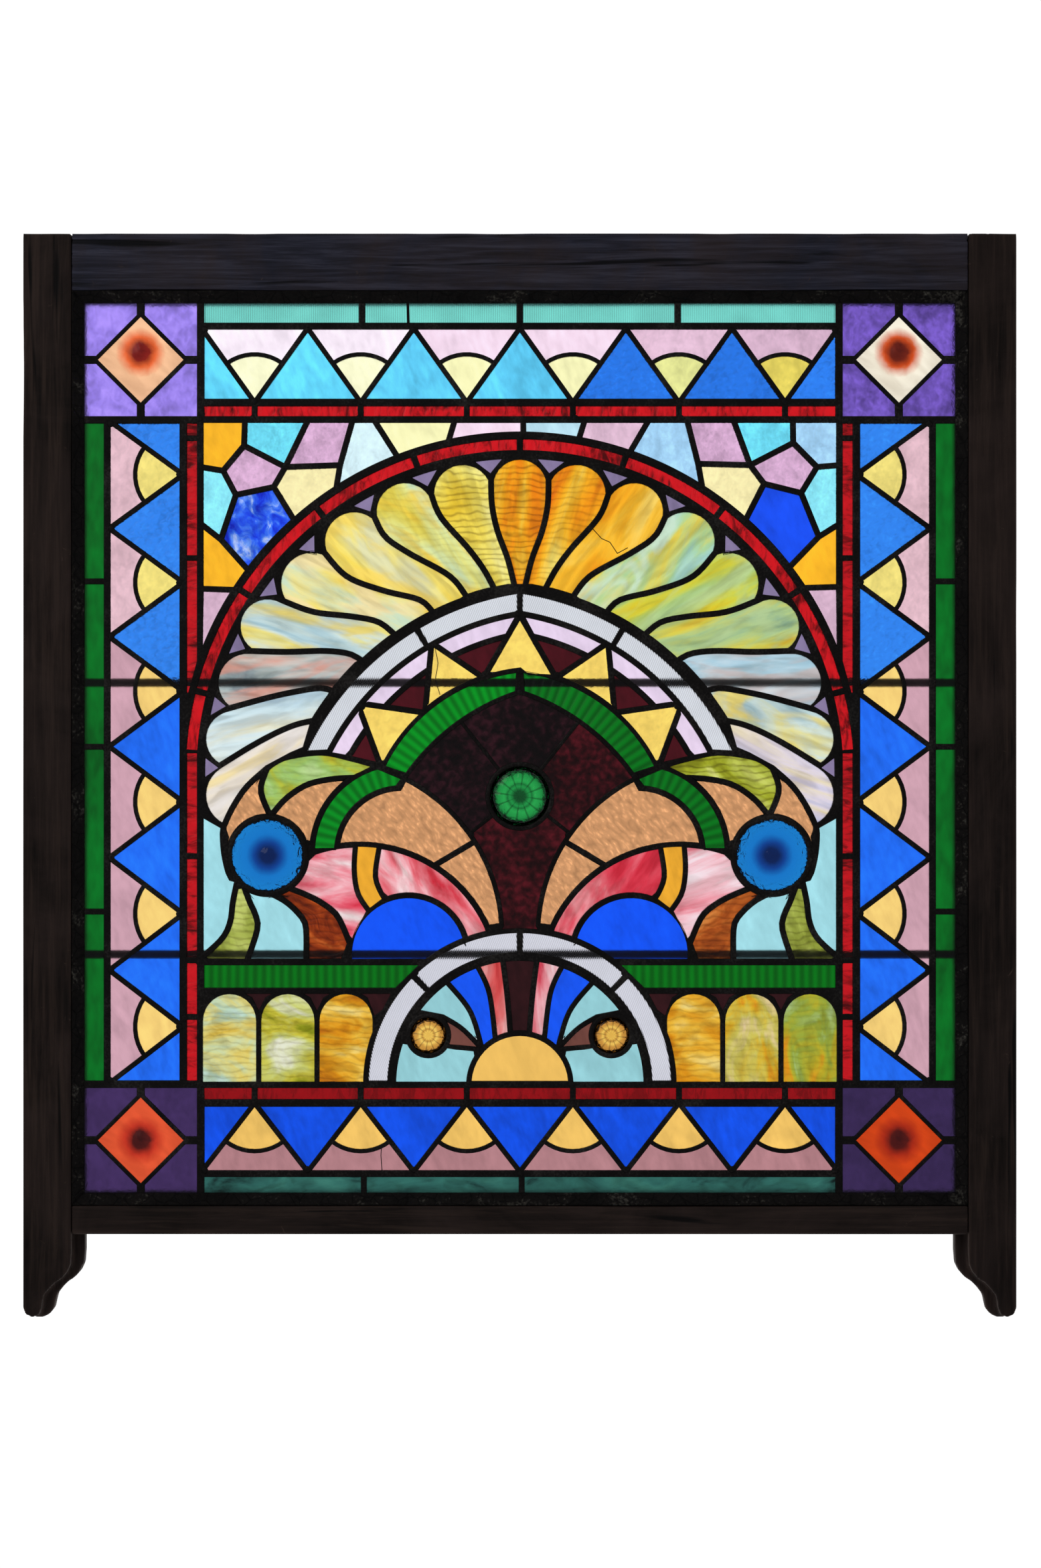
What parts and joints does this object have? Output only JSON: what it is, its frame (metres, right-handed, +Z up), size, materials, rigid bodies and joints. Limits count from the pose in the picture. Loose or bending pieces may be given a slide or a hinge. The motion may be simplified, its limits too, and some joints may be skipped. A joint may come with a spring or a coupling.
{
  "type": "stained glass window",
  "caption": "Antique upper window sash with carved horns, glazed with a leaded panel of coloured glass in a geometric and floral arch pattern.",
  "frame": {"origin": "middle of the top rail's top face", "axes": "+Z up, +X to the right as seen from the outer (puttied) side, -Y out of that side"},
  "size_m": [1.0674, 0.044, 1.1656],
  "materials": {
    "wood": "weathered, nearly black",
    "putty": "rough, cracked linseed putty",
    "lead": "lead with a dark patina",
    "iron": "rusty, dark",
    "purple_glass": "rippled",
    "flame_glass": "bullion, streaky",
    "border_glass": "cathedral and hammered",
    "red_glass": "crinkled, streaky",
    "mosaic_glass": "cathedral, mixed colours",
    "opal_glass": "opalescent",
    "white_glass": "fine reeded",
    "amber_glass": "cathedral",
    "motif_glass": "mixed colours",
    "green_glass": "reeded, pressed",
    "blue_glass": "spun",
    "maroon_glass": "dark, mottled"
  },
  "bodies": {
    "root": {"stile_left": "wood", "stile_right": "wood", "rail_top": "wood", "rail_bottom": "wood", "glazing_putty": "putty", "lead_cames": "lead", "saddle_bar_upper": "iron", "saddle_bar_lower": "iron", "corner_glass_top_left": "purple_glass", "corner_glass_top_right": "purple_glass", "corner_glass_bottom_left": "purple_glass", "corner_glass_bottom_right": "purple_glass", "bullion_top_left": "flame_glass", "bullion_top_right": "flame_glass", "bullion_bottom_left": "flame_glass", "bullion_bottom_right": "flame_glass", "border_top": "border_glass", "border_bottom": "border_glass", "border_left": "border_glass", "border_right": "border_glass", "red_strip_top": "red_glass", "red_strip_bottom": "red_glass", "red_strip_upper_left": "red_glass", "red_strip_upper_right": "red_glass", "red_arch": "red_glass", "mosaic_left": "mosaic_glass", "mosaic_right": "mosaic_glass", "petal_fan": "opal_glass", "lower_lights_left": "opal_glass", "lower_lights_right": "opal_glass", "white_lancet": "white_glass", "white_half_round": "white_glass", "star_band": "amber_glass", "sun": "amber_glass", "jewel_yellow_left": "amber_glass", "jewel_yellow_right": "amber_glass", "motif_left": "motif_glass", "motif_right": "motif_glass", "half_round_glass": "motif_glass", "green_lancet": "green_glass", "jewel_green": "green_glass", "rondel_blue_left": "blue_glass", "rondel_blue_right": "blue_glass", "centre_field": "maroon_glass"}
  },
  "joints": []
}
